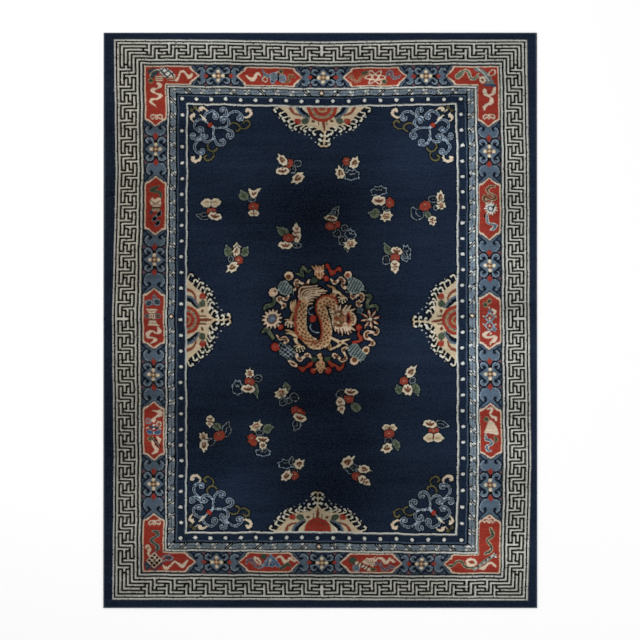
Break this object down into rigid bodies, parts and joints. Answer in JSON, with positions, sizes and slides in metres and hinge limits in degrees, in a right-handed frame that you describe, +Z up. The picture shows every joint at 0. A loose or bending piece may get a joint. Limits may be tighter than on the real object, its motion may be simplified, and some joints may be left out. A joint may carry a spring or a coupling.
{
  "type": "chinese rug",
  "caption": "Large rectangular hand-knotted wool rug, dark blue field with round medallion, flower sprays, red cartouche border and key fret, lying flat.",
  "frame": {"origin": "on the floor under the middle of the rug", "axes": "+Z up out of the pile, +Y along the length towards the head of the rug, +X across its width"},
  "size_m": [2.759, 3.658, 0.0117],
  "materials": {
    "wool_pile": "matte"
  },
  "bodies": {
    "root": {"rug": "wool_pile"}
  },
  "joints": []
}
